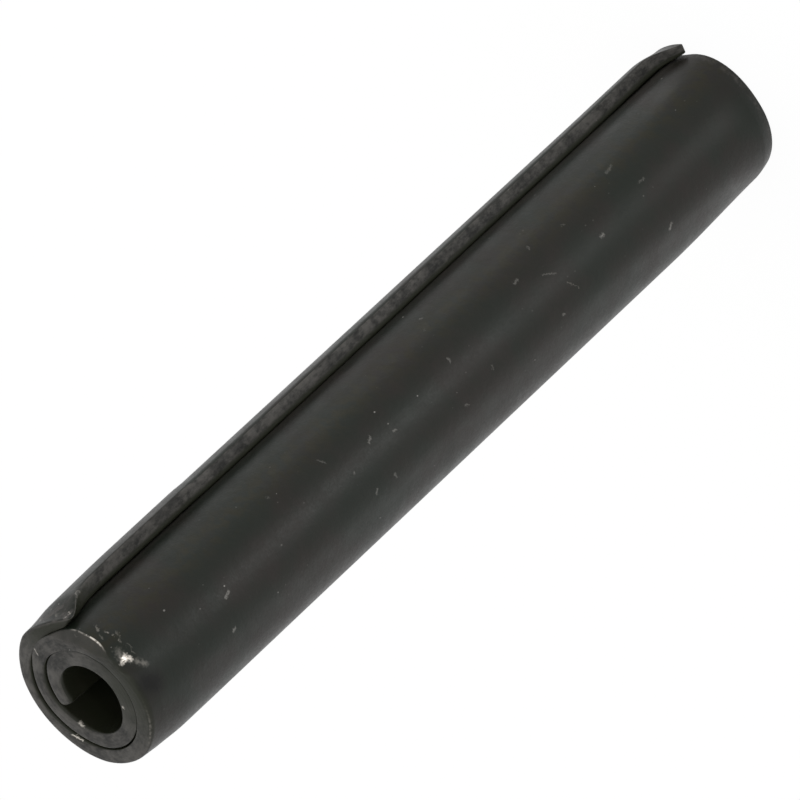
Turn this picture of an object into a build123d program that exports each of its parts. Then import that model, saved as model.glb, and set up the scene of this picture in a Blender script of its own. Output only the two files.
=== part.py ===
"""Coiled spring pin: one strip of spring steel rolled two and a bit turns on itself,
cut to length and swaged at both ends so that it starts into its hole."""

import os
from math import cos, radians, sin

from build123d import *

# Sizes in mm, angles in degrees. The pin stands on one end with its axis along +Z.
pin_length = 50.0
strip_thickness = 0.9  # heavy-duty wall for a nominal 8 mm pin
lap_gap = 0.05  # air left between one lap and the next
seam_radius = 4.44  # outside radius of the strip's outer end, where the coil is widest
wrap_angle = 822.0  # how far the strip runs round, from outer end to inner end
seam_angle = -25.0  # where the outer end lies, counter-clockwise from +X

arcs_per_turn = 8  # the coil is drawn with tangent arcs about the corners of a small octagon
swage_length = 2.0  # how far the rounded taper runs along the pin
swage_start_radius = 4.27  # outside radius where the taper meets the body
swage_end_radius = 3.88  # outside radius left at the end face

top_edge_radius = 0.13  # sheared edge of the strip, on the outside of the pin
under_edge_radius = 0.2  # the same edge where it turns down onto the lap below
inner_edge_radius = 0.18  # both edges of the strip's inner end

# The free corner of the outer lap is dressed down at each end: (height above the end face,
# depth taken off the sheared edge, reach round the pin)
corner_stations = ((-0.2, 0.83, 1.9), (0.5, 0.82, 1.6), (1.4, 0.66, 1.15), (2.7, 0.02, 0.12))


def polar(radius, angle):
    """The point at this radius and angle in the XY plane."""
    return Vector(radius * cos(radians(angle)), radius * sin(radians(angle)))


# ---- The rolled strip, seen from the end -------------------------------------------------
lap_pitch = strip_thickness + lap_gap
arc_angle = 360.0 / arcs_per_turn
arc_step = lap_pitch / arcs_per_turn  # each arc is this much tighter than the one before
octagon_radius = 0.5 * arc_step / sin(radians(arc_angle / 2))

with BuildSketch() as coil:
    with BuildLine():
        arc_centre = polar(octagon_radius, seam_angle - 90 + arc_angle / 2)
        arc_radius, arc_start, turned = seam_radius, seam_angle, 0.0
        outer_end = arc_centre + polar(arc_radius, arc_start)
        outer_lip = Line(outer_end, outer_end - polar(strip_thickness, arc_start))
        while turned < wrap_angle:
            sweep = min(arc_angle, wrap_angle - turned)
            CenterArc(arc_centre, arc_radius, arc_start, sweep)
            CenterArc(arc_centre, arc_radius - strip_thickness, arc_start, sweep)
            turned += sweep
            arc_start += sweep
            inner_end = arc_centre + polar(arc_radius, arc_start)
            arc_centre += polar(arc_step, arc_start)
            arc_radius -= arc_step
        inner_lip = Line(inner_end, inner_end - polar(strip_thickness, arc_start))
    make_face()
    coil_centre = coil.sketch.bounding_box().center()
    for lip, end, radius in (
        (outer_lip, 0, top_edge_radius),
        (outer_lip, 1, under_edge_radius),
        (inner_lip, 0, inner_edge_radius),
        (inner_lip, 1, inner_edge_radius),
    ):
        fillet(coil.vertices().sort_by_distance(lip @ end)[0], radius=radius)

# ---- The pin: the coil drawn out to length, then closed in at both ends --------------------
with BuildPart() as coiled_pin:
    with Locations(-coil_centre):
        add(coil.sketch)
    extrude(amount=pin_length)

    # the swaging dies close a rounded taper over each end
    with BuildSketch(Plane.XZ):
        with BuildLine():
            body = Line((swage_start_radius, swage_length), (swage_start_radius, pin_length - swage_length))
            foot = TangentArc(body @ 0, (swage_end_radius, 0), tangent=(0, -1))
            head = TangentArc(body @ 1, (swage_end_radius, pin_length), tangent=(0, 1))
            Polyline(foot @ 1, (0, 0), (0, pin_length), head @ 1)
        make_face()
    revolve(axis=Axis.Z, mode=Mode.INTERSECT)

    # the free corner of the outer lap, dressed down onto the lap below it
    with BuildPart(mode=Mode.PRIVATE) as corner:
        outer_corner = outer_end - coil_centre
        for height, depth, reach in corner_stations:
            along_seam = Plane(outer_corner + Vector(0, 0, height), x_dir=polar(1, seam_angle))
            with BuildSketch(along_seam):
                skin = -(reach**2) / (2 * seam_radius)  # the round surface has fallen this far
                with BuildLine():
                    Polyline((0.5, -0.5), (-depth, -0.5), (-depth, 0), (skin, reach), (0.5, reach), close=True)
                make_face()
        loft(ruled=True)
    add(corner.part, mode=Mode.SUBTRACT)
    add(mirror(corner.part, about=Plane.XY.offset(pin_length / 2)), mode=Mode.SUBTRACT)

coiled_pin.part.label = "coiled_pin"

if __name__ == "__main__":
    os.makedirs("parts", exist_ok=True)
    print(f"volume {coiled_pin.part.volume:.0f} mm3, valid {coiled_pin.part.is_valid}")
    export_step(coiled_pin.part, "parts/coiled_pin.step")
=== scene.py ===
# %% [markdown]
# # A coiled spring pin
#
# A coiled spring pin is one strip of spring steel rolled two and a bit turns on itself, cut to
# length and closed in at both ends so that it starts into its hole. The packed model gives its
# size and place. This lesson rolls a much finer strip in the same place, with the small marks
# that the press, the shears and the tumbling barrel leave on a real pin, and then gives it the
# dark oiled skin of phosphated steel.

# %% Load the packed pin and measure it
from math import cos, degrees, pi, radians, sin, tan

import bpy
from mathutils import Matrix, Vector


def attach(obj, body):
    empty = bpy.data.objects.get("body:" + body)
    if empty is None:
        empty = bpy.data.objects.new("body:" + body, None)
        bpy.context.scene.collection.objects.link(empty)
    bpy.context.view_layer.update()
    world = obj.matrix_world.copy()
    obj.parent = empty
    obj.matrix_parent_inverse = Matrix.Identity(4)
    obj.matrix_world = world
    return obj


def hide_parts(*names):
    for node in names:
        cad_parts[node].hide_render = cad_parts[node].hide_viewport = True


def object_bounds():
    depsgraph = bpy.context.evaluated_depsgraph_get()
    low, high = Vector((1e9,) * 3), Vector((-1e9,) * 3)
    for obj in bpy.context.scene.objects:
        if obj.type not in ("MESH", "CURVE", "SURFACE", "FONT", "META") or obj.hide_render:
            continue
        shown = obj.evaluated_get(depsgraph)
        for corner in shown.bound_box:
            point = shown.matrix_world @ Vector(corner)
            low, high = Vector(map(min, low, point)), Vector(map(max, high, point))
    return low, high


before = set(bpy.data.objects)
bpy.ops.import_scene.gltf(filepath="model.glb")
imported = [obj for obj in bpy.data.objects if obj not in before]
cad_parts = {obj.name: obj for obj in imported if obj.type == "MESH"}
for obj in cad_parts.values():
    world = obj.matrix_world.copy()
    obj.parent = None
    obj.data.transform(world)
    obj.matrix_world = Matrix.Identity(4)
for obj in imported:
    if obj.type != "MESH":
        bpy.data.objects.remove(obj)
cad_low, cad_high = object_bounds()
print("packed pin, mm:", [round(1000 * side, 2) for side in cad_high - cad_low])

# %% [markdown]
# ## The sizes of the rolled strip
#
# The strip is 0.9 mm thick, and a hair of air lies between one lap and the next. On an end face
# the strip draws a spiral: its radius falls by one strip and one gap for each full turn. The
# spiral's own centre, its eye, isn't the middle of the pin, because a spiral reaches further on
# the side where it starts. All sizes are written in millimetres and turned into metres here.

# %% Driving sizes, in metres and radians
MM = 0.001
pin_length = cad_high.z
strip_thickness = 0.9 * MM
lap_pitch = 0.95 * MM           # one strip and one gap
seam_radius = 4.490 * MM        # from the eye to the strip's outer end
wrap_angle = radians(826)       # how far the strip runs round
seam_angle = radians(-25)       # where its outer end lies, from +X
eye = Vector((-0.2375 * MM, -0.2375 * MM, 0))
print("turns of strip:", round(wrap_angle / (2 * pi), 2))

# %% [markdown]
# ## Camera
#
# A long lens from above shows the standing pin almost without perspective. The camera is rolled
# about its own axis, so that the pin lies across the picture, with its upper end low on the
# left.

# %% Place the camera
def direction_to(azimuth, elevation):
    """The direction from the pin to whatever stands at this azimuth and this high."""
    return Vector((cos(elevation) * cos(azimuth), cos(elevation) * sin(azimuth), sin(elevation)))


view_azimuth, view_elevation = radians(-88.65), radians(35.02)
view_distance = 455.8 * MM
view_roll = radians(133.02)
aim_right, aim_up = -0.014 * MM, 0.428 * MM     # where the lens points, from the pin's middle
focal_length_px, picture_px, sensor_mm = 9509, 800, 36

middle = Vector((0, 0, pin_length / 2))
back = direction_to(view_azimuth, view_elevation)
level = Vector((-sin(view_azimuth), cos(view_azimuth), 0))
aim = middle + aim_right * level + aim_up * back.cross(level)

camera = bpy.data.objects.new("camera", bpy.data.cameras.new("camera"))
camera.location = middle + view_distance * back
toward_eye = (camera.location - aim).normalized()
upright = Matrix.Identity(3)
right = Vector((0, 0, 1)).cross(toward_eye).normalized()
upright.col[0], upright.col[1], upright.col[2] = right, toward_eye.cross(right), toward_eye
camera.rotation_euler = (upright @ Matrix.Rotation(-view_roll, 3, "Z")).to_euler()
camera.data.sensor_width = sensor_mm
camera.data.lens = focal_length_px * sensor_mm / picture_px
camera.data.clip_start, camera.data.clip_end = 0.01, 10
bpy.context.collection.objects.link(camera)
bpy.context.scene.camera = camera
bpy.context.scene.view_settings.view_transform = "Standard"
print("lens:", round(camera.data.lens), "mm")

# %% [markdown]
# ## Floor and light
#
# A dark satin cylinder is drawn by what it reflects, and a camera that looks down on it sees
# mostly the floor in it. The floor is plain white, and the camera and the reflections see it as
# paper white, with only a trace of the pin's shadow. One large soft box hangs above, and a small
# low one in front catches the bevels. The standing skin mirrors the floor: a point twice as high
# mirrors the floor twice as far away. So lamps lie on the floor in rows that fan out from the
# pin. Each row draws one soft band up the skin, and the panels in it say how bright the band is
# at the foot, along the middle and at the head.

# %% The floor
floor_half = 1.2
floor_corners = [(floor_half * x, floor_half * y, 0) for x, y in ((-1, -1), (1, -1), (1, 1), (-1, 1))]
floor_mesh = bpy.data.meshes.new("floor")
floor_mesh.from_pydata(floor_corners, [], [(0, 1, 2, 3)])
floor = bpy.data.objects.new("floor", floor_mesh)
bpy.context.collection.objects.link(floor)
print("floor, metres across:", 2 * floor_half)

# %% What counts as seen directly, and the paper that the floor is made of
def seen_directly(tree):
    """1 for rays from the camera, a reflection or glass, and 0 for rays that only light things."""
    path = tree.nodes.new("ShaderNodeLightPath")
    seen = path.outputs["Is Camera Ray"]
    for ray in ("Is Glossy Ray", "Is Transmission Ray"):
        either = tree.nodes.new("ShaderNodeMath")
        either.operation = "MAXIMUM"
        tree.links.new(seen, either.inputs[0])
        tree.links.new(path.outputs[ray], either.inputs[1])
        seen = either.outputs[0]
    return seen


paper_share = 0.95              # how much of the floor's look is plain paper white
paper = bpy.data.materials.new("paper_floor")
paper.use_nodes = True
nodes, links = paper.node_tree.nodes, paper.node_tree.links
nodes.clear()
matt = nodes.new("ShaderNodeBsdfDiffuse")
matt.inputs["Color"].default_value = (0.9, 0.9, 0.9, 1)
white = nodes.new("ShaderNodeEmission")
white.inputs["Strength"].default_value = 1
share = nodes.new("ShaderNodeMath")
share.operation = "MULTIPLY"
share.inputs[1].default_value = paper_share
links.new(seen_directly(paper.node_tree), share.inputs[0])
mix = nodes.new("ShaderNodeMixShader")
links.new(share.outputs[0], mix.inputs[0])
links.new(matt.outputs[0], mix.inputs[1])
links.new(white.outputs[0], mix.inputs[2])
links.new(mix.outputs[0], nodes.new("ShaderNodeOutputMaterial").inputs["Surface"])
floor.data.materials.append(paper)
print("floor material:", paper.name)

# %% The room, as bright as the paper wherever it is seen
world = bpy.data.worlds.new("studio")
bpy.context.scene.world = world
world.use_nodes = True
sky = world.node_tree.nodes["Background"]
sky.inputs["Color"].default_value = (1, 1, 1, 1)
room_level = 0.95               # how bright the room is for rays that only light things
brightness = world.node_tree.nodes.new("ShaderNodeMapRange")
brightness.inputs["To Min"].default_value = room_level
brightness.inputs["To Max"].default_value = 1
world.node_tree.links.new(seen_directly(world.node_tree), brightness.inputs["Value"])
world.node_tree.links.new(brightness.outputs["Result"], sky.inputs["Strength"])
print("room level:", room_level)

# %% Soft boxes: panels that face the pin
def lamp_panel(name, width, height, radiance):
    """A rectangular lamp of this radiance, where 1 is as bright as the white paper."""
    lamp = bpy.data.lights.new(name, "AREA")
    lamp.shape, lamp.size, lamp.size_y = "RECTANGLE", width, height
    lamp.energy = radiance * pi * width * height
    panel = bpy.data.objects.new(name, lamp)
    panel.visible_camera = False
    bpy.context.collection.objects.link(panel)
    return panel


def soft_box(name, azimuth, elevation, distance, width, height, radiance):
    """A panel that faces the middle of the pin."""
    box = lamp_panel(name, width, height, radiance)
    direction = direction_to(radians(azimuth), radians(elevation))
    box.location = middle + distance * direction
    box.rotation_euler = direction.to_track_quat("Z", "Y").to_euler()
    return box


soft_box("top_box", -60, 75, 0.5, 0.4, 0.4, 1.6)
soft_box("front_box", -88, 24, 0.40, 0.03, 0.03, 40)

# %% Rows of panels that lie on the floor
above_floor = 0.2 * MM
fan_rings = (6 * MM, 12 * MM, 24 * MM, 45 * MM, 80 * MM)     # where the panels of a row meet


def floor_strip(name, azimuth, near, far, width, radiance):
    """A panel that lies on the floor and faces up, and points away from the pin."""
    strip = lamp_panel(name, far - near, width, radiance)
    away = direction_to(radians(azimuth), 0.0)
    strip.location = away * (near + far) / 2 + Vector((0, 0, above_floor))
    strip.rotation_euler = (pi, 0, radians(azimuth))
    return strip


def floor_fan(name, azimuth, spread, radiances):
    """Strips in a row away from the pin, each as wide as this angle, seen from the pin."""
    for i, (near, far, radiance) in enumerate(zip(fan_rings, fan_rings[1:], radiances)):
        width = (near + far) * tan(radians(spread / 2))
        floor_strip(name + "_" + str(i), azimuth, near, far, width, radiance)


floor_fan("seam_side_fan", 4, 9, (1.0, 0.4, 0.7, 1.4))
floor_fan("band_fan", -24, 14, (1.2, 1.0, 1.6, 1.3))
floor_fan("front_fan", -104, 18, (1.2, 1.1, 2.4, 4.8))
floor_fan("far_side_fan", -175, 18, (0.6, 1.1, 1.0, 1.5))

# %% [markdown]
# ## Writing formulas as nodes
#
# The coil follows a rule, so Geometry Nodes make it: a formula moves every point of a plain
# block to its place on the rolled strip. A formula drawn with single math nodes is hard to
# read, so this small class lets Python write it. Each sum or product of two fields adds one
# node to the tree.

# %% A field: a number that differs from point to point
class Field:
    """One output of a node tree, with arithmetic that adds nodes to the tree."""

    def __init__(self, tree, source):
        self.tree, self.source = tree, source

    def node(self, kind, **settings):
        made = self.tree.nodes.new(kind)
        for name, value in settings.items():
            setattr(made, name, value)
        return made

    def feed(self, socket, value):
        if isinstance(value, Field):
            self.tree.links.new(value.source, socket)
        else:
            socket.default_value = value

    def math(self, operation, *others):
        made = self.node("ShaderNodeMath", operation=operation)
        for socket, value in zip(made.inputs, (self, *others)):
            self.feed(socket, value)
        return Field(self.tree, made.outputs[0])

    def __add__(self, other):
        return self.math("ADD", other)

    def __sub__(self, other):
        return self.math("SUBTRACT", other)

    def __mul__(self, other):
        return self.math("MULTIPLY", other)

    def __truediv__(self, other):
        return self.math("DIVIDE", other)

    def __neg__(self):
        return self.math("MULTIPLY", -1.0)

    def __rsub__(self, other):
        return (-self) + other

    __radd__ = __add__
    __rmul__ = __mul__

    def power(self, exponent):
        return self.math("POWER", exponent)

    def least(self, other):
        return self.math("MINIMUM", other)

    def most(self, other):
        return self.math("MAXIMUM", other)

    def ramp(self, start, stop, low=0.0, high=1.0, kind="LINEAR"):
        """Goes from low to high while the field goes from start to stop, and stays level outside."""
        made = self.node("ShaderNodeMapRange", interpolation_type=kind)
        settings = {"Value": self, "From Min": start, "From Max": stop, "To Min": low, "To Max": high}
        for name, value in settings.items():
            self.feed(made.inputs[name], value)
        return Field(self.tree, made.outputs["Result"])

    def ease(self, start, stop, low=0.0, high=1.0):
        """The same with a soft start and stop."""
        return self.ramp(start, stop, low, high, "SMOOTHSTEP")

    def fade(self, start, stop):
        """Falls softly from 1 to 0 while the field goes from start to stop."""
        return self.ease(start, stop, 1.0, 0.0)


print("a field can do:", [name for name in vars(Field) if not name.startswith("_")])

# %% [markdown]
# ## The tree: a block of points becomes the strip
#
# The Mesh Cube node gives a closed block of points, so many along, through and up. Its points
# are evenly spaced, but a rounded edge needs its points close together. The helper below deals
# the rows out over zones: so many rows to the first zone, so many to the next, and each zone as
# long as it should be.

# %% Tree inputs: the strip, and how round its edges are
coil_inputs = {
    "Pin length": pin_length,
    "Strip thickness": strip_thickness,
    "Lap pitch": lap_pitch,
    "Seam radius": seam_radius,
    "Wrap angle": wrap_angle,
    "Seam angle": seam_angle,
    "Eye X": eye.x,
    "Eye Y": eye.y,
    "Groove rounding": 0.16 * MM,      # how much rounder the laps' edges are where they sprang apart
    "Rim radius": 0.10 * MM,           # every cut or sheared edge, as it left the barrel
    "Pinch": 0.085 * MM,               # how much sharper where the first two laps are pressed together
    "Worn corner radius": 0.27 * MM,   # the seam's outer corner, where it has rubbed
    "Worn up to": 38.7 * MM,
    "Under corner radius": 0.17 * MM,  # the seam's inner corner, on the lap below
    "Head rounding": 0.14 * MM,        # the outer lap's edge at the head, rolled over by the dies
    "Front rounding": 0.16 * MM,       # and how much rounder it is at the front
}
print("sizes of the strip:", len(coil_inputs))

# %% Tree inputs: what the dies did to both ends
coil_inputs.update({
    "Head squeeze": 0.06 * MM,         # how deep the dies close in the upper end
    "Head taper": 0.09 * MM,           # the long shallow taper that the dies leave
    "Head slack": 0.23 * MM,           # how much less over the side that sprang back
    "Side press": 0.16 * MM,           # how far one side of the head is pushed in, laps and all
    "Chamfer": 0.44 * MM,              # the flat that the dies knocked on the front of the rim
    "Shallow swage": 0.10 * MM,        # and the shallow band below it
    "Knock": 0.15 * MM,                # a dent beside it
    "Foot squeeze": 0.14 * MM,
    "Foot taper": 0.20 * MM,
    "Lap spread": 0.15 * MM,           # how far the laps stand apart at the back of the head
})
print("and of its ends:", len(coil_inputs))

# %% Tree inputs: the free corners and the seam
coil_inputs.update({
    "Corner depth": 0.50 * MM,         # how far the free corner at the head is pressed in
    "Corner reach": 5.0 * MM,          # how far round the pin that goes
    "Corner slip": 1.02 * MM,          # how far its point has slid on, over the next lap
    "Corner tuck": 0.50,               # how much less its inner side slides
    "Corner droop": 0.67 * MM,         # and how far below the end face it hangs
    "Corner burr": 0.05 * MM,
    "Corner rounding": 0.22 * MM,
    "Foot slip": 0.95 * MM,
    "Foot corner depth": 0.38 * MM,
    "Foot corner lift": 0.12 * MM,
    "Seam trim": 0.245 * MM,           # the seam isn't quite straight: how far it starts back
    "Seam lean": 0.455 * MM,           # at the head, and how much further at the foot
    "Seam drop": 0.055 * MM,           # how much closer the seam lies where it has rubbed
    "Shear wander": 0.035 * MM,        # how far the sheared edge strays from a straight line
    "Unevenness": 0.008 * MM,
    "Seed": 4.0,
})
print("and of its corners and seam:", len(coil_inputs))

# %% The sockets of the tree
coil_tree = bpy.data.node_groups.new("roll_strip", "GeometryNodeTree")
coil_tree.is_modifier = True


def count_nodes(step, tree=coil_tree):
    """Say how large a tree is after a step."""
    print(step + ":", len(tree.nodes), "nodes in", tree.name)


coil_tree.interface.new_socket("Geometry", in_out="OUTPUT", socket_type="NodeSocketGeometry")
for name, value in coil_inputs.items():
    socket = coil_tree.interface.new_socket(name, in_out="INPUT", socket_type="NodeSocketFloat")
    socket.default_value = value
for name in ("Skin", "Sheared steel"):
    coil_tree.interface.new_socket(name, in_out="INPUT", socket_type="NodeSocketMaterial")
group_input = coil_tree.nodes.new("NodeGroupInput")
size = {name: Field(coil_tree, group_input.outputs[name]) for name in coil_inputs}
count_nodes("inputs")

# %% Three coordinates on the flat strip: along it, into it, up it
corner_zone, first_turn, bevel_zone, end_zone = 3.2 * MM, 23 * MM, 1.3 * MM, 2.9 * MM
rows_along = (3, 34, 100, 60, 3)              # edge, free corner, first turn, the rest, edge
rows_through = (3, 2, 3)
rows_up = (3, 26, 20, 104, 20, 26, 3)         # edge, bevel, end, body, end, bevel, edge

block = coil_tree.nodes.new("GeometryNodeMeshCube")
block.inputs["Size"].default_value = (1, 1, 1)
for letter, rows in zip("XYZ", (rows_along, rows_through, rows_up)):
    block.inputs["Vertices " + letter].default_value = sum(rows) + 1

position = coil_tree.nodes.new("GeometryNodeInputPosition")
split = coil_tree.nodes.new("ShaderNodeSeparateXYZ")
coil_tree.links.new(position.outputs[0], split.inputs[0])
row_along, row_through, row_up = [
    (Field(coil_tree, split.outputs[axis]) + 0.5) * float(sum(rows))
    for axis, rows in enumerate((rows_along, rows_through, rows_up))
]
print("block, points each way:", [sum(rows) + 1 for rows in (rows_along, rows_through, rows_up)])

# %% Deal the rows out
rim = size["Rim radius"]
mid_radius = size["Seam radius"] - size["Strip thickness"] * 0.5
turn_fall = size["Lap pitch"] * (1 / (2 * pi))             # how much the radius falls each radian
strip_length = size["Wrap angle"] * (mid_radius - turn_fall * size["Wrap angle"] * 0.5)


def dealt(row, zones):
    """The place of a row when each zone (rows, length) takes its rows in turn."""
    place, first = None, 0
    for rows, length in zones:
        step = row.ramp(float(first), float(first + rows), 0.0, length)
        place = step if place is None else place + step
        first += rows
    return place


def up_the_pin(edge):
    body = size["Pin length"] - 2.0 * edge - 2 * (bevel_zone + end_zone)
    return dealt(row_up, zip(rows_up, (edge, bevel_zone, end_zone, body, end_zone, bevel_zone, edge)))


def along_the_strip(edge):
    rest = strip_length - 2.0 * edge - corner_zone - first_turn
    return dealt(row_along, zip(rows_along, (edge, corner_zone, first_turn, rest, edge)))


count_nodes("strip length")

# %% [markdown]
# ## How round each edge is
#
# The shears leave the strip's edges sharp. The barrel, the dies and the laps that rub on each
# other then round them by different amounts, so the edge radius is a field too. The rows next to
# an edge have to follow its radius. That is why everything is first placed roughly, with one
# radius, then the true radius is worked out from those places, and the rows are dealt out again.

# %% Rough places, and where along an edge its radius changes
def turns_to(length):
    """The angle at which a spiral of this pitch has this length."""
    squared = (mid_radius * mid_radius - 2.0 * turn_fall * length).most(0.0)
    return (mid_radius - squared.math("SQRT")) / turn_fall


rough_up = up_the_pin(rim)
rough_along = along_the_strip(rim)
rough_turned = turns_to(rough_along)
from_head = size["Pin length"] - rough_up
at_head = from_head.fade(0.6 * MM, 1.2 * MM)
round_head = from_head.fade(0.8 * MM, 1.6 * MM)
at_seam = rough_along.ramp(0.5 * MM, 1.2 * MM, 1.0, 0.0)
off_the_ends = rough_up.ease(0.6 * MM, 2.5 * MM) * from_head.ease(0.6 * MM, 2.5 * MM)
count_nodes("rough places")

# %% The seam's two corners: worn round up to a height, and rounder at the free corner
worn_up_to = size["Worn up to"]
worn = rough_up.ease(worn_up_to, worn_up_to + 0.7 * MM, size["Worn corner radius"], rim)
free_corner = (size["Corner rounding"] - rim) * from_head.fade(2.0 * MM, 3.4 * MM)
seam_outside = at_seam * ((worn - rim) * off_the_ends + free_corner)
seam_inside = (size["Under corner radius"] - rim) * at_seam * off_the_ends
count_nodes("seam")

# %% The laps' edges at the head: rounder at the back, where they sprang apart, and at the front
def hump(field, centre, reach):
    """1 at the centre, falling to 0 at this reach on either side."""
    return ((field - centre) / reach).math("ABSOLUTE").fade(0.0, 1.0)


def around(angle, centre, reach):
    """The same for an angle round the pin, with its centre and reach in degrees from the seam."""
    return hump(angle, radians(centre), radians(reach))


groove = size["Groove rounding"] * (rough_turned - radians(100)).math("COSINE").ease(0.3, 0.9) * at_head
rolled_over = rough_turned.ease(radians(5), radians(20)) * rough_turned.fade(radians(290), radians(318))
rolled_rim = (size["Head rounding"] - rim) * (rolled_over * round_head)
front_rounding = size["Front rounding"] * around(rough_turned, 262, 52) * round_head
count_nodes("edges at the head")

# %% Sharper where the first two laps are pressed together, so that the line between them is thin
pressed_together = ((26, 30), (265, 55), (352, 48))         # degrees from the seam, and either side
closed_laps = sum(around(rough_turned, centre, reach) for centre, reach in pressed_together)
under_closed_laps = sum(around(rough_turned, centre + 360, reach) for centre, reach in pressed_together)
pinch = size["Pinch"] * at_head
pinched_outside = pinch * under_closed_laps.ease(0.0, 0.4)
pinched_inside = pinch * closed_laps.ease(0.0, 0.4)
outer_edge = rim - pinched_outside + front_rounding + groove.most(rolled_rim) + seam_outside
inner_edge = rim - pinched_inside + groove + seam_inside
count_nodes("edge radii")

# %% Deal the rows out again, each with the radius of the edge that it lies on
between_edges = size["Strip thickness"] - outer_edge - inner_edge
into = dealt(row_through, zip(rows_through, (outer_edge, between_edges, inner_edge)))
on_inner_half = into.math("GREATER_THAN", size["Strip thickness"] * 0.5)
edge = outer_edge + (inner_edge - outer_edge) * on_inner_half
along = along_the_strip(edge)
up = up_the_pin(edge)
count_nodes("rows")

# %% [markdown]
# ## Round the edges
#
# A strip that has been sheared and tumbled has no sharp edge. Every point is compared with a
# smaller block, one edge radius inside the strip: the nearest point of that block is its
# centre, and the point is put exactly one edge radius away from it. Flat faces don't move, and
# edges and corners become parts of rods and balls.

# %% Pull every point to one edge radius from the inner block
def combine(tree, x, y, z):
    made = tree.nodes.new("ShaderNodeCombineXYZ")
    for socket, value in zip(made.inputs, (x, y, z)):
        value.feed(socket, value)
    return made.outputs[0]


def vector_math(tree, operation, *sources):
    made = tree.nodes.new("ShaderNodeVectorMath")
    made.operation = operation
    for socket, source in zip(made.inputs, sources):
        tree.links.new(source, socket)
    return made


strip_sides = ((along, strip_length), (into, size["Strip thickness"]), (up, size["Pin length"]))
core = [coordinate.most(edge).least(whole - edge) for coordinate, whole in strip_sides]
from_core = vector_math(
    coil_tree, "SUBTRACT", combine(coil_tree, along, into, up), combine(coil_tree, *core))
outward = vector_math(coil_tree, "NORMALIZE", from_core.outputs[0])
split_outward = coil_tree.nodes.new("ShaderNodeSeparateXYZ")
coil_tree.links.new(outward.outputs[0], split_outward.inputs[0])
along, into, up = [
    centre + edge * Field(coil_tree, split_outward.outputs[i]) for i, centre in enumerate(core)
]
count_nodes("rounded edges")

# %% [markdown]
# ## Roll it up
#
# The length of a spiral up to an angle is a parabola in that angle, so one square root gives
# the angle back from the length. With it, the rows stay evenly spaced from the outer lap to the
# innermost one.

# %% The free corners slip round the pin, and the sheared edge wanders
def noise(tree, along_scale, up_scale, detail=1.0):
    """Smooth random values from -1 to 1 over the flat strip: waves per metre along and up it."""
    made = tree.nodes.new("ShaderNodeTexNoise")
    made.noise_dimensions = "4D"
    made.inputs["Scale"].default_value = 1
    made.inputs["Detail"].default_value = detail
    flat_place = combine(tree, along * along_scale, into * 300.0, up * up_scale)
    tree.links.new(flat_place, made.inputs["Vector"])
    tree.links.new(size["Seed"].source, made.inputs["W"])
    return (Field(tree, made.outputs["Fac"]) - 0.5) * 2.0


from_head = size["Pin length"] - up
at_free_corner = from_head.fade(0.0, 3.4 * MM)
slip = size["Corner slip"] * at_free_corner + size["Foot slip"] * up.fade(0.0, 1.6 * MM)
lean = size["Seam trim"] + size["Seam lean"] * (1.0 - up / (45 * MM)).most(0.0).power(1.5)
wander = size["Shear wander"] * noise(coil_tree, 0.0, 900.0, 2.0)
tuck = 1.0 - size["Corner tuck"] * (into / size["Strip thickness"]) * at_free_corner
along = along + (lean + wander - slip * tuck) * along.ramp(0.0, corner_zone, 1.0, 0.0)
turned = turns_to(along)
angle = size["Seam angle"] + turned
outer_radius = size["Seam radius"] - turn_fall * turned
count_nodes("rolled strip")

# %% [markdown]
# ## Close in the ends, press the free corner
#
# Swaging dies squeeze each end smaller, deeper on one side than on the other. Only the outside
# of the coil meets the dies, so each point is moved by the share of the strip that lies under
# it: all of it on the outer face, none on the inner one. The free corner of the outer lap gets
# more. It is pressed down onto the next lap, slides on over it and hangs below the end face.

# %% The head's rim: squeezed in, with a long taper, but not over the side that sprang back
def bevel(distance, length, sharpness):
    """1 at the end face, falling to 0 at the bevel's lower edge."""
    return (1.0 - distance / length).most(0.0).power(sharpness)


sprung = around(turned, 108, 88)
pushed_side = around(turned, 218, 72)
head_bare = turned.fade(radians(325), radians(348))              # 1 where the dies reach the strip
head_depth = size["Head squeeze"] - size["Head slack"] * sprung
head_taper = size["Head taper"] * (1.0 - pushed_side) * from_head.fade(0.0, 6 * MM)
head_in = (head_depth * bevel(from_head, 1.0 * MM, 1.2) + head_taper) * head_bare
count_nodes("rim")

# %% The flat knocked on its front, the shallow band below it, and the dent beside it
ragged = noise(coil_tree, 2200.0, 2200.0, 3.0)
chamfered = turned.ease(radians(298), radians(328)) * turned.fade(radians(352), radians(372))
chamfer = size["Chamfer"] * chamfered * (1.0 + 0.12 * ragged)
chamfer_in = chamfer * bevel(from_head, chamfer.most(0.01 * MM), 1.0)
shallow_length = 1.1 * MM * (1.0 + 0.15 * ragged)
shallow_in = size["Shallow swage"] * around(turned, 312, 48) * bevel(from_head, shallow_length, 0.8)
knock_in = size["Knock"] * (around(turned, 297, 11) * from_head.fade(0.35 * MM, 0.85 * MM))
count_nodes("flat, band and dent")

# %% The foot's rim, which is full next to the seam
round_seam = around(turned, 335, 60)
foot_bare = turned.fade(radians(352), radians(376))
near_seam = turned.fade(radians(15), radians(80))
foot_taper = size["Foot taper"] * up.fade(0.0, 8 * MM)
foot_depth = size["Foot squeeze"] * bevel(up, 0.9 * MM, 1.4)
foot_in = (foot_depth + foot_taper) * (1.0 - round_seam) * (1.0 - near_seam) * foot_bare
count_nodes("foot")

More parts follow.
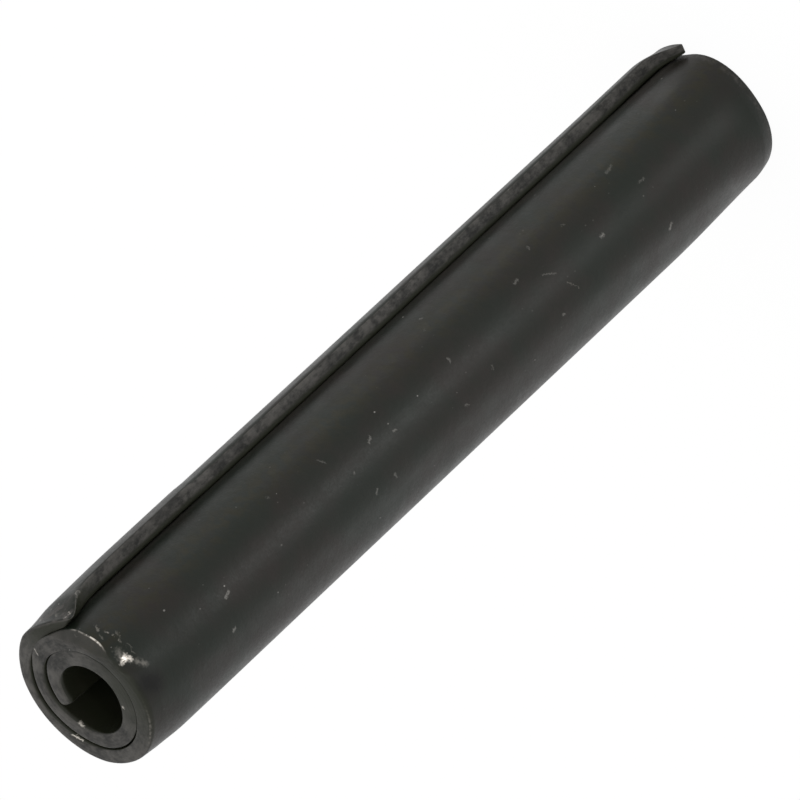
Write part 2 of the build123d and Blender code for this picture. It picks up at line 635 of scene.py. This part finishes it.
# %% The free corners, with a burr on the one at the head
from_point = along + 0.8 * MM
corner_round = from_point.fade(0.0, size["Corner reach"])
corner_in = size["Corner depth"] * from_head.fade(0.3 * MM, 2.4 * MM) * corner_round
foot_corner_in = size["Foot corner depth"] * up.fade(0.0, 2.2 * MM) * along.fade(0.0, 4 * MM)
outer_share = 1.0 - into / size["Strip thickness"]
all_in = head_in.most(corner_in) + chamfer_in + shallow_in + knock_in + foot_in + foot_corner_in
moved_in = all_in * outer_share
near_point = bevel(from_point.most(0.0), 3.1 * MM, 2.2) * bevel(from_head, 2.2 * MM, 1.0)
droop = size["Corner droop"] * near_point
lift = size["Foot corner lift"] * up.fade(0.0, 1.5 * MM) * along.fade(-0.8 * MM, 0.8 * MM)

burr_place = from_point.fade(0.2 * MM, 1.1 * MM) * hump(from_head, 0.55 * MM, 0.55 * MM)
burr = size["Corner burr"] * burr_place * noise(coil_tree, 5200.0, 5200.0, 2.0)
count_nodes("free corners")

# %% [markdown]
# ## The laps at the head
#
# The dies close the outer lap only. Where they let go, the laps spring apart, and where they
# press, the laps are pushed together and the line between them nearly closes. Each row of the
# list below moves one stretch of one lap: its outer face, its inner face, or both.

# %% Spring the laps apart at the back of the head, and close them elsewhere
gap_side = 1.0 - outer_share
lap_moves = (                   # degrees from the seam, and either side; share of the spread at the
    (25, 45, 0.00, -0.25),      # strip's outer face, and at its inner face
    (95, 45, 0.00, 0.80),
    (102, 70, 0.00, 1.00),
    (265, 80, 0.00, -0.38),
    (357, 46, 0.00, -0.34),
    (430, 70, 0.00, 0.75),
    (445, 85, 0.90, 0.90),
    (458, 45, 0.35, 0.35),
    (610, 50, 0.00, -0.40),
    (765, 45, 0.60, 0.00),
    (805, 85, 1.20, 1.20),
)
apart = sum(
    around(turned, centre, reach) * (outside * outer_share + inside * gap_side)
    for centre, reach, outside, inside in lap_moves)
inner_lap_pushed = around(turned, 578, 85) * (1.0 - 0.5 * gap_side)
pushed = size["Side press"] * (pushed_side + inner_lap_pushed)
spread = (size["Lap spread"] * apart - pushed) * from_head.fade(0.0, 3 * MM)
rubbed_part = up.ease(2 * MM, 8 * MM) * up.fade(worn_up_to - 0.6 * MM, worn_up_to + 0.5 * MM)
drop = size["Seam drop"] * turned.fade(0.0, radians(70)) * rubbed_part
count_nodes("laps")

# %% Where every point ends up
uneven = size["Unevenness"] * noise(coil_tree, 110.0, 60.0) * off_the_ends
radius = outer_radius - into - moved_in + spread - drop + uneven + burr
x = size["Eye X"] + radius * angle.math("COSINE")
y = size["Eye Y"] + radius * angle.math("SINE")
z = up - droop + lift
count_nodes("places")

# %% [markdown]
# ## Remember what each point is
#
# Once the strip is rolled, a material can't tell a chamfer's crease from plain skin. So the tree
# stores a few numbers on every point: its three coordinates on the flat strip, how far round
# the pin it lies, and how far it is from the edges that the dies left. They change evenly from
# point to point, so a material can draw a line with them that is finer than the mesh.

# %% Store them
def store(geometry, name, kind, source):
    made = coil_tree.nodes.new("GeometryNodeStoreNamedAttribute")
    made.data_type, made.domain = kind, "POINT"
    made.inputs["Name"].default_value = name
    coil_tree.links.new(geometry, made.inputs["Geometry"])
    coil_tree.links.new(source, made.inputs["Value"])
    return made.outputs[0]


just_inside = 0.4999            # the block is one metre wide, so its own faces lie at 0.5
off_middle = [Field(coil_tree, split.outputs[axis]).math("ABSOLUTE") for axis in (0, 2)]
on_a_cut = off_middle[0].most(off_middle[1]).math("GREATER_THAN", just_inside)
flat_strip = combine(coil_tree, along, into, up)
die_marks = combine(coil_tree, turned, from_head - chamfer, from_head - shallow_length)
geometry = store(block.outputs["Mesh"], "flat_strip", "FLOAT_VECTOR", flat_strip)
geometry = store(geometry, "die_marks", "FLOAT_VECTOR", die_marks)
geometry = store(geometry, "cut_face", "FLOAT", on_a_cut.source)
count_nodes("stored")

# %% Put the points in place, and give each face its material
def set_material(geometry, input_name, selection=None):
    made = coil_tree.nodes.new("GeometryNodeSetMaterial")
    coil_tree.links.new(geometry, made.inputs["Geometry"])
    coil_tree.links.new(group_input.outputs[input_name], made.inputs["Material"])
    if selection is not None:
        coil_tree.links.new(selection.source, made.inputs["Selection"])
    return made.outputs[0]


place = coil_tree.nodes.new("GeometryNodeSetPosition")
coil_tree.links.new(geometry, place.inputs["Geometry"])
coil_tree.links.new(combine(coil_tree, x, y, z), place.inputs["Position"])
realize = coil_tree.nodes.new("GeometryNodeRealizeInstances")
coil_tree.links.new(place.outputs[0], realize.inputs[0])
cut_face = coil_tree.nodes.new("GeometryNodeInputNamedAttribute")
cut_face.data_type = "FLOAT"
cut_face.inputs["Name"].default_value = "cut_face"
all_corners_cut = Field(coil_tree, cut_face.outputs["Attribute"]).math("GREATER_THAN", 0.99)
geometry = set_material(realize.outputs[0], "Skin")
geometry = set_material(geometry, "Sheared steel", all_corners_cut)
smooth = coil_tree.nodes.new("GeometryNodeSetShadeSmooth")
coil_tree.links.new(geometry, smooth.inputs[0])
coil_tree.links.new(smooth.outputs[0], coil_tree.nodes.new("NodeGroupOutput").inputs[0])
count_nodes("whole tree")

# %% [markdown]
# ## Effects that both finishes share
#
# The pin has two finishes: the phosphated skin of the strip, and the sheared steel of its cut
# faces. Both have the same fine grain, collect the same dust and wear in the same places, so
# each effect is one node group, built once. A group only puts out values and masks. The shader
# that uses them stays in each material.

# %% Grain: fine crystals, and the wider unevenness under them
def effect_group(name, inputs, outputs):
    """A shader group with these number inputs and outputs, and its inputs as fields."""
    group = bpy.data.node_groups.new(name, "ShaderNodeTree")
    for label, value in inputs.items():
        socket = group.interface.new_socket(label, in_out="INPUT", socket_type="NodeSocketFloat")
        socket.default_value = value
    for label in outputs:
        group.interface.new_socket(label, in_out="OUTPUT", socket_type="NodeSocketFloat")
    entry = group.nodes.new("NodeGroupInput")
    exit_node = group.nodes.new("NodeGroupOutput")
    return group, {label: Field(group, entry.outputs[label]) for label in inputs}, exit_node


def object_place(tree, stretch=(1, 1, 1)):
    """The point's place on the object, stretched along each axis."""
    coordinates = tree.nodes.new("ShaderNodeTexCoord")
    mapping = tree.nodes.new("ShaderNodeMapping")
    mapping.inputs["Scale"].default_value = stretch
    tree.links.new(coordinates.outputs["Object"], mapping.inputs["Vector"])
    return mapping.outputs[0]


def noise_field(tree, vector, scale, detail=2.0, roughness=0.5, w=0.0):
    """Noise from 0 to 1 in a shader tree."""
    made = tree.nodes.new("ShaderNodeTexNoise")
    made.noise_dimensions = "4D"
    tree.links.new(vector, made.inputs["Vector"])
    noise_value = Field(tree, made.outputs["Fac"])
    for name, value in {"Scale": scale, "Detail": detail, "Roughness": roughness, "W": w}.items():
        noise_value.feed(made.inputs[name], value)
    return noise_value


grain, sizes, out = effect_group(
    "phosphate_grain", {"Crystals per metre": 9000.0, "Waves per metre": 2600.0},
    ("Height", "Mottle", "Fine"))
vector = object_place(grain)
crystals = noise_field(grain, vector, sizes["Crystals per metre"], 3.0, 0.6, 2.0)
waves = noise_field(grain, vector, sizes["Waves per metre"], 2.0, 0.5, 5.0)
mottle = noise_field(grain, vector, sizes["Waves per metre"] * 0.28, 5.0, 0.66, 8.0)
grain.links.new((crystals * 0.28 + waves * 0.72).source, out.inputs["Height"])
grain.links.new(mottle.ease(0.30, 0.70).source, out.inputs["Mottle"])
grain.links.new(crystals.ease(0.25, 0.75).source, out.inputs["Fine"])
count_nodes("grain", grain)

# %% [markdown]
# ## Where this pin has worn
#
# A pin wears where it knocks against other pins: on the crest that the dies left round the
# head, on the free corners, along the seam, and on the edges of the end faces. Long marks
# follow the edges, so they are drawn with the stored distances. Single knocks and scratches
# are written in a list, each as a line from one place to another, with its width. Dust and lint
# lie on the oily skin in the same way: specks everywhere, and the larger bits in a list. Dirt
# and oil stay where nothing rubs them off: in the gaps and on the face, and the drooped free
# corner's end face is darker. Painted shade darkens the free corner's sheared edge, a painted
# dark reflection lies near the head, and painted light lightens the slit beside the seam.

# %% One mark: a soft line between two places
def knock(across, up_from, start, stop, half_width):
    """1 on the line from start to stop, falling to 0 at this distance from it, in mm."""
    run, rise = stop[0] - start[0], stop[1] - start[1]
    squared = max(run * run + rise * rise, 1e-6)
    x, y = across - start[0], up_from - start[1]
    share = ((x * run + y * rise) * (1.0 / squared)).most(0.0).least(1.0)
    x, y = x - share * run, y - share * rise
    return (1.0 - (x * x + y * y).math("SQRT") * (1.0 / half_width)).most(0.0).power(1.5)


def lay_over(mask, marks, across, up_from, where):
    """The mask with every mark of a list over it, as far as the last field allows."""
    for start, stop, half_width, strength in marks:
        mask = mask.most(knock(across, up_from, start, stop, half_width) * strength * where)
    return mask


def stray_lines(tree, scale, amount, seeds):
    """Two small noises, in mm, that bend a mark off its straight line."""
    return [(noise_field(tree, object_place(tree), scale, 2.0, 0.5, w) - 0.5) * amount for w in seeds]

# %% The knocks and the scratches
skin_knocks = (                 # along the strip and down from the head, mm; half width; how bare
    ((19.10, 0.61), (18.88, 0.75), 0.21, 1.0),       # the crest's end, burnished bright
    ((19.00, 0.40), (19.00, 0.60), 0.17, 0.80),
    ((18.62, 0.90), (18.27, 1.20), 0.22, 0.12),
    ((19.42, 0.62), (19.20, 0.54), 0.30, 0.12),
    ((21.01, 1.10), (20.78, 0.98), 0.08, 0.15),      # below the crest
    ((20.55, 0.74), (20.32, 0.67), 0.09, 0.08),
    ((20.09, 1.38), (19.86, 1.29), 0.07, 0.08),
    ((19.41, 1.24), (19.18, 1.26), 0.06, 0.08),
    ((0.10, 2.32), (-0.18, 1.78), 0.06, 0.16),       # on the free corner
    ((-0.28, 0.81), (-0.41, 0.50), 0.06, 0.32),
    ((-0.28, 0.25), (-0.32, 0.35), 0.07, 0.32),
    ((0.40, 0.68), (0.29, 0.52), 0.15, 0.10),
    ((1.50, 0.61), (1.35, 0.56), 0.18, 0.12),
    ((1.12, 1.15), (1.10, 1.10), 0.09, 0.10),
    ((17.95, 33.65), (17.33, 34.16), 0.03, 0.10),    # a hair scratch near the foot
)
face_knocks = (                 # X and Y on the upper end face, mm; half width; how bare
    ((3.09, 0.52), (2.78, 0.64), 0.06, 0.35),
    ((-1.59, -1.78), (-1.66, -1.73), 0.08, 0.60),
    ((-0.82, 2.12), (-1.14, 2.00), 0.06, 0.45),
    ((-1.08, 3.14), (-1.62, 2.86), 0.06, 0.55),
    ((2.39, -2.42), (2.20, -2.50), 0.05, 0.12),
    ((2.61, -2.98), (2.39, -3.09), 0.05, 0.22),
)
print("knocks:", len(skin_knocks), "on the skin,", len(face_knocks), "on the end face")

# %% The larger bits of dust and lint on the skin
dust_marks = (                  # along the strip and down from the head, mm; half width; how thick
    ((18.03, 6.90), (18.14, 7.25), 0.10, 0.39),
    ((18.31, 36.97), (18.32, 37.18), 0.12, 0.42),
    ((16.35, 41.01), (16.51, 41.26), 0.10, 0.36),
    ((20.18, 40.07), (20.30, 40.63), 0.10, 0.15),
    ((18.66, 18.75), (18.80, 19.02), 0.09, 0.31),
    ((18.84, 32.82), (18.48, 33.50), 0.06, 0.18),
    ((19.38, 31.29), (19.42, 31.63), 0.09, 0.23),
    ((16.69, 6.34), (16.75, 6.53), 0.09, 0.36),
    ((16.80, 17.53), (16.91, 17.68), 0.09, 0.26),
    ((19.00, 25.42), (18.80, 25.39), 0.08, 0.23),
    ((16.90, 32.53), (16.88, 32.64), 0.09, 0.31),
    ((19.58, 15.98), (19.28, 16.17), 0.06, 0.15),
    ((18.34, 20.24), (18.28, 20.41), 0.08, 0.36),
    ((16.90, 19.00), (16.71, 19.05), 0.08, 0.21),
    ((20.19, 33.61), (20.06, 33.53), 0.08, 0.21),
    ((18.92, 40.86), (18.90, 41.24), 0.06, 0.15),
    ((17.48, 27.19), (17.31, 27.16), 0.07, 0.17),
    ((21.20, 26.52), (21.16, 26.63), 0.08, 0.31),
    ((16.97, 24.65), (16.84, 24.93), 0.06, 0.21),
    ((19.87, 12.48), (19.86, 12.58), 0.07, 0.20),
    ((19.84, 35.84), (19.77, 35.99), 0.06, 0.15),
    ((18.15, 16.93), (18.15, 17.01), 0.07, 0.21),
    ((20.59, 25.92), (20.66, 26.07), 0.05, 0.10),
)
print("bits of dust:", len(dust_marks))

# %% Dust: small specks everywhere, and the larger marks
def stored(tree, name):
    """A vector that the tree stored on every point."""
    made = tree.nodes.new("ShaderNodeAttribute")
    made.attribute_name = name
    return made.outputs["Vector"]


def parts(tree, vector, scale=1.0):
    """The three numbers of a vector, as fields."""
    made = tree.nodes.new("ShaderNodeSeparateXYZ")
    tree.links.new(vector, made.inputs[0])
    return [Field(tree, output) * scale for output in made.outputs]


def strip_place(tree):
    """How far along the strip, into it, up it and down from the head, in millimetres."""
    along_mm, into_mm, up_mm = parts(tree, stored(tree, "flat_strip"), 1 / MM)
    return along_mm, into_mm, up_mm, pin_length / MM - up_mm


dust, sizes, out = effect_group(
    "dust", {"Cells per metre": 2600.0, "Speck size": 0.11, "Share of cells": 0.34}, ("Speck",))
cells = dust.nodes.new("ShaderNodeTexVoronoi")
cells.feature = "F1"
dust.links.new(object_place(dust, (1, 1, 0.8)), cells.inputs["Vector"])
dust.links.new(sizes["Cells per metre"].source, cells.inputs["Scale"])
chance, spread, shade = parts(dust, cells.outputs["Color"])
own_size = sizes["Speck size"] * (spread * 1.1 + 0.4)
own_strength = shade.power(5.0) * 0.7 + 0.05
speck = (1.0 - Field(dust, cells.outputs["Distance"]) / own_size).most(0.0).ease(0.0, 0.5)
speck = speck * chance.math("LESS_THAN", sizes["Share of cells"]) * own_strength

along_mm, into_mm, _, head_mm = strip_place(dust)
stray = stray_lines(dust, 9000.0, 0.30, (31.0, 37.0))
speck = lay_over(speck, dust_marks, along_mm + stray[0], head_mm + stray[1], into_mm.fade(0.05, 0.30))
dust.links.new(speck.source, out.inputs["Speck"])
count_nodes("specks and marks", dust)

# %% Wear: the fields that all its masks are made of
wear, sizes, out = effect_group(
    "edge_wear_and_painted_light_and_shade", {"Flecks per metre": 5200.0}, ("Bare", "Rubbed and painted light", "Dirt and painted shade", "Stain", "Painted dark reflection"))
along_mm, into_mm, up_mm, head_mm = strip_place(wear)
turn, over_crest, over_swage = parts(wear, stored(wear, "die_marks"))
turn, over_crest, over_swage = turn * degrees(1), over_crest * (1 / MM), over_swage * (1 / MM)
x_mm, y_mm, _ = parts(wear, object_place(wear), 1 / MM)
outside = into_mm.fade(0.05, 0.30)
near_face = head_mm.fade(0.05, 0.40)
flecks = noise_field(wear, object_place(wear), sizes["Flecks per metre"], 4.0, 0.65, 11.0)
patches = noise_field(wear, object_place(wear), sizes["Flecks per metre"] * 0.35, 3.0, 0.55, 17.0)
stray = stray_lines(wear, 7000.0, 0.42, (21.0, 27.0))
skin_across, skin_up = along_mm + stray[0], head_mm + stray[1]
face_x, face_y = x_mm + stray[0] * 0.6, y_mm + stray[1] * 0.6
count_nodes("wear fields", wear)

# %% Bare steel: the crest, the swage's lower line, the knocks, and the front of the rim
crest = hump(over_crest, 0.0, 0.055) * turn.ease(311.0, 321.0) * turn.fade(346.0, 352.0)
crest = crest * (0.22 + 0.78 * hump(turn, 327.0, 13.0)) * flecks.ease(0.36, 0.52)
swage_line = 0.35 * hump(over_swage, 0.0, 0.10) * hump(turn, 312.0, 24.0) * flecks.ease(0.52, 0.68)
bare = (crest + swage_line) * outside
bare = lay_over(bare, skin_knocks, skin_across, skin_up, outside)
bare = lay_over(bare, face_knocks, face_x, face_y, near_face)
bare = bare * (0.45 + 1.1 * flecks)
front_rim = hump(into_mm, 0.10, 0.08) * head_mm.fade(0.02, 0.12) * hump(turn, 238.0, 34.0)
bare = bare.most(0.10 * front_rim * flecks.ease(0.4, 0.6))
wear.links.new(bare.least(1.0).source, out.inputs["Bare"])
count_nodes("bare", wear)

# %% Rubbed, but not yet bare: the seam's edges, the foot, the pressed corner, the rims; and painted light in the shaded slit beside the seam
seam_edge = hump(along_mm, 0.05, 0.40) * into_mm.fade(0.10, 0.45)
seam_edge = seam_edge * (0.25 + 0.12 * patches.ease(0.35, 0.65))
# Painted light: the seam's inner corner and the lap beside it, in the shaded slit, are made a lighter
# grey
painted_light_on_under_edge = 0.5 * hump(along_mm, 0.0, 0.4) * into_mm.ease(0.55, 0.85)
painted_light_in_slit = 0.35 * hump(turn, 366.0, 11.0) * outside
foot_band = hump(up_mm, 0.28, 0.30) * turn.ease(225.0, 250.0) * outside
foot_band = foot_band * (0.15 + 0.5 * flecks.ease(0.40, 0.62)) * patches.ease(0.35, 0.60)
pressed = head_mm.fade(0.9, 1.9) * turn.fade(10.0, 30.0) * outside * patches.ease(0.45, 0.62)
flat = over_crest.fade(-0.05, 0.02) * turn.ease(300.0, 316.0) * turn.fade(370.0, 380.0) * outside
flat = flat * (0.15 + 0.6 * patches)
rim_line = hump(into_mm, 0.08, 0.10) * near_face * hump(turn, 240.0, 34.0)
rim_line = rim_line * (flecks.ease(0.3, 0.7) + 0.1)
outer_ridge = hump(into_mm, 0.80, 0.12) * hump(turn, 275.0, 45.0)
inner_ridge = hump(into_mm, 0.10, 0.13) * hump(turn, 640.0, 45.0)
ridge = near_face * 0.55 * (inner_ridge + outer_ridge)
rubbed = painted_light_in_slit + painted_light_on_under_edge + seam_edge + foot_band + pressed + flat + rim_line + ridge
wear.links.new(rubbed.least(1.0).source, out.inputs["Rubbed and painted light"])
count_nodes("rubbed", wear)

# %% Dirt between the laps, an oily film on the end face, a darker end face on the free corner, and painted shade on the free corner's sheared edge
# Painted shade: the free corner's sheared edge is darkened near the head, down to 4.5 mm
corner_dirt = head_mm.fade(1.2, 4.5) * head_mm.ease(0.05, 0.3)
corner_dirt = corner_dirt * along_mm.fade(0.2, 0.6) * into_mm.ease(0.02, 0.20)
under_first_lap = turn.ease(372.0, 385.0) * into_mm.fade(0.20, 0.40)
inside_of_laps = (1.0 - 0.35 * turn.ease(462.0, 478.0)) * into_mm.ease(0.50, 0.70)
gap_dirt = head_mm.ease(0.0, 0.10) * (under_first_lap + inside_of_laps)
oily = near_face * (hump(turn, 272.0, 80.0) + hump(turn, 632.0, 80.0)) * (0.5 + patches)
# The drooped free corner's end face is made darker and olive
corner_face = 0.85 * near_face * along_mm.fade(1.4, 3.4) * into_mm.ease(0.03, 0.28)
dirt = corner_dirt.most(gap_dirt).most(oily).most(corner_face)
wear.links.new(dirt.least(1.0).source, out.inputs["Dirt and painted shade"])
count_nodes("dirt", wear)

# %% Dried oil in a band beside the seam, and a painted dark reflection near the head
stain = outside * 0.75 * hump(along_mm, 20.55, 1.3) * patches.ease(0.40, 0.62)
wear.links.new(stain.source, out.inputs["Stain"])
# Painted dark reflection: a soft dark patch on the skin near the head, round from the crest's end
painted_dark_reflection = outside * knock(skin_across, skin_up, (17.62, 0.72), (17.42, 1.02), 0.85)
wear.links.new((painted_dark_reflection * 1.6).least(1.0).source, out.inputs["Painted dark reflection"])
count_nodes("stain and soot", wear)

# %% [markdown]
# ## The two finishes
#
# Manganese phosphate and oil leave steel nearly black, with a satin sheen that isn't quite even:
# olive where the crystals are thick, brown where the oil has dried. Where it has worn through,
# the same surface is a metal, so one mask drives Base Color, Metallic and Roughness together.

# %% Blend two colours by a mask, and place an effect in a material
def blend(tree, share, first, second):
    """A colour between two, by a field. Each may be a tuple or a socket."""
    made = tree.nodes.new("ShaderNodeMix")
    made.data_type = "RGBA"
    tree.links.new(share.source, made.inputs[0])
    for socket, colour in ((made.inputs[6], first), (made.inputs[7], second)):
        if isinstance(colour, tuple):
            socket.default_value = (*colour, 1)
        else:
            tree.links.new(colour, socket)
    return made.outputs[2]


def place_group(tree, group, **settings):
    """A group placed in a material, with its outputs as fields."""
    made = tree.nodes.new("ShaderNodeGroup")
    made.node_tree = group
    for label, value in settings.items():
        made.inputs[label.replace("_", " ")].default_value = value
    return {output.name: Field(tree, output) for output in made.outputs}

# %% The colours of both finishes, and how rough dust and bare steel are
olive_black = (0.0072, 0.0074, 0.0048)
brown_black = (0.0100, 0.0076, 0.0058)
green_black = (0.0045, 0.0082, 0.0050)
dried_oil = (0.0112, 0.0098, 0.0024)
# a near-black colour for the painted dark reflection
painted_dark_reflection_black = (0.0011, 0.0012, 0.0006)
# rubbed grey is worn steel, and also painted light in the slit beside the seam
rubbed_grey = (0.050, 0.046, 0.042)
bare_steel = (0.74, 0.69, 0.62)
dust_grey = (0.30, 0.29, 0.27)
cut_dark = (0.006, 0.006, 0.005)
cut_light = (0.054, 0.051, 0.046)
# oil green is oil in the gaps and on the face, and also painted shade on the free corner
oil_and_painted_shade_green = (0.0110, 0.0122, 0.0066)
bare_roughness, dust_roughness = 0.28, 0.25
oiled_skin_ior, oiled_cut_ior = 1.295, 1.29        # phosphate and oil mirror less than steel does
skin_relief, cut_relief = 0.017 * MM, 0.028 * MM
print("relief, mm:", skin_relief / MM, "on the skin,", cut_relief / MM, "on the cuts")

# %% What both finishes share: the shader, its relief, and the dust and bared steel on top
def new_finish(name, ior):
    """An empty principled material."""
    made = bpy.data.materials.new(name)
    made.use_nodes = True
    shader = made.node_tree.nodes["Principled BSDF"]
    shader.inputs["IOR"].default_value = ior
    return made, made.node_tree, shader


def add_bump(tree, shader, height, distance):
    """Relief too fine for the mesh, this high."""
    bump = tree.nodes.new("ShaderNodeBump")
    bump.inputs["Distance"].default_value = distance
    tree.links.new(height.source, bump.inputs["Height"])
    tree.links.new(bump.outputs[0], shader.inputs["Normal"])


def finish_off(tree, shader, colour, rough, marks, speck):
    """Lay dust and bared steel over a finish, and plug it into its shader."""
    colour = blend(tree, speck, colour, dust_grey)
    colour = blend(tree, marks["Bare"], colour, bare_steel)
    tree.links.new(colour, shader.inputs["Base Color"])
    tree.links.new(marks["Bare"].source, shader.inputs["Metallic"])
    rough = (rough + dust_roughness * speck) * (1.0 - marks["Bare"]) + bare_roughness * marks["Bare"]
    tree.links.new(rough.source, shader.inputs["Roughness"])

# %% Phosphated skin
skin, tree, shader = new_finish("phosphated_skin", oiled_skin_ior)
grains = place_group(tree, grain)
marks = place_group(tree, wear)
speck = place_group(tree, dust)["Speck"]
patches = noise_field(tree, object_place(tree), 260.0, 2.0, 0.5, 3.0).ease(0.40, 0.62)
colour = blend(tree, grains["Mottle"], olive_black, brown_black)
colour = blend(tree, patches * 0.7, colour, green_black)
colour = blend(tree, marks["Stain"], colour, dried_oil)
# The rubbed blend is wear, and also painted light in the slit beside the seam
colour = blend(tree, marks["Rubbed and painted light"], colour, rubbed_grey)
# The dirt blend is oil, and also painted shade on the free corner
colour = blend(tree, marks["Dirt and painted shade"], colour, oil_and_painted_shade_green)
# The last blend is a painted dark reflection
colour = blend(tree, marks["Painted dark reflection"], colour, painted_dark_reflection_black)
rough = 0.31 + 0.09 * grains["Mottle"] + 0.12 * grains["Fine"] + 0.12 * marks["Rubbed and painted light"]
finish_off(tree, shader, colour, rough, marks, speck)
relief = grains["Height"] + 0.5 * speck + 0.4 * marks["Rubbed and painted light"] * grains["Fine"]
add_bump(tree, shader, relief, skin_relief)
print("skin:", skin.name)

# %% Sheared steel: torn by the shears, with marks that run along the cut
sheared, tree, shader = new_finish("sheared_steel", oiled_cut_ior)
drawn_out = tree.nodes.new("ShaderNodeMapping")
drawn_out.inputs["Scale"].default_value = (0.45, 1, 0.55)
tree.links.new(stored(tree, "flat_strip"), drawn_out.inputs["Vector"])
tears = noise_field(tree, drawn_out.outputs[0], 5200.0, 3.0, 0.6, 6.0)
grains = place_group(tree, grain, Crystals_per_metre=7000.0)
marks = place_group(tree, wear)
speck = place_group(tree, dust, Share_of_cells=0.30)["Speck"]
colour = blend(tree, (0.8 * tears + 0.35 * grains["Mottle"]).ease(0.30, 0.82), cut_dark, cut_light)
# The rubbed blend is wear, and also painted light on the seam's inner corner
colour = blend(tree, marks["Rubbed and painted light"] * 0.6, colour, rubbed_grey)
# The dirt blend is oil, and also painted shade on the free corner's sheared edge
colour = blend(tree, marks["Dirt and painted shade"], colour, oil_and_painted_shade_green)
finish_off(tree, shader, colour, 0.42 + 0.12 * tears, marks, speck)
add_bump(tree, shader, 0.6 * tears + 0.4 * grains["Height"] + 0.3 * speck, cut_relief)
print("cut faces:", sheared.name)

# %% [markdown]
# ## Roll it, and put it in the packed pin's place
#
# The tree is a modifier on an empty object. Its inputs are set by their identifiers, it is
# evaluated once, and the result is kept as a plain mesh. Then the finished strip takes the
# packed pin's place: it rides the same body, and the packed pin is hidden.

# %% Roll the strip
pin_mesh = bpy.data.meshes.new("coiled_strip")
pin = bpy.data.objects.new("coiled_strip", pin_mesh)
bpy.context.collection.objects.link(pin)
roll = pin.modifiers.new("roll", "NODES")
roll.node_group = coil_tree
tree_inputs = [item for item in coil_tree.interface.items_tree if item.in_out == "INPUT"]
identifier = {item.name: item.identifier for item in tree_inputs}
for name, value in coil_inputs.items():
    roll[identifier[name]] = value
roll[identifier["Skin"]] = skin
roll[identifier["Sheared steel"]] = sheared
rolled = bpy.data.meshes.new_from_object(pin.evaluated_get(bpy.context.evaluated_depsgraph_get()))
pin.modifiers.clear()
pin.data = rolled
rolled.name = "coiled_strip"
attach(pin, "root")
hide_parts("coiled_pin")
triangles = sum(len(face.vertices) - 2 for face in rolled.polygons)
print("strip:", len(rolled.vertices), "points,", triangles, "triangles")

# %% Print the packed box
print("packed box, mm:", [round(1000 * v, 3) for v in (*cad_low, *cad_high)])
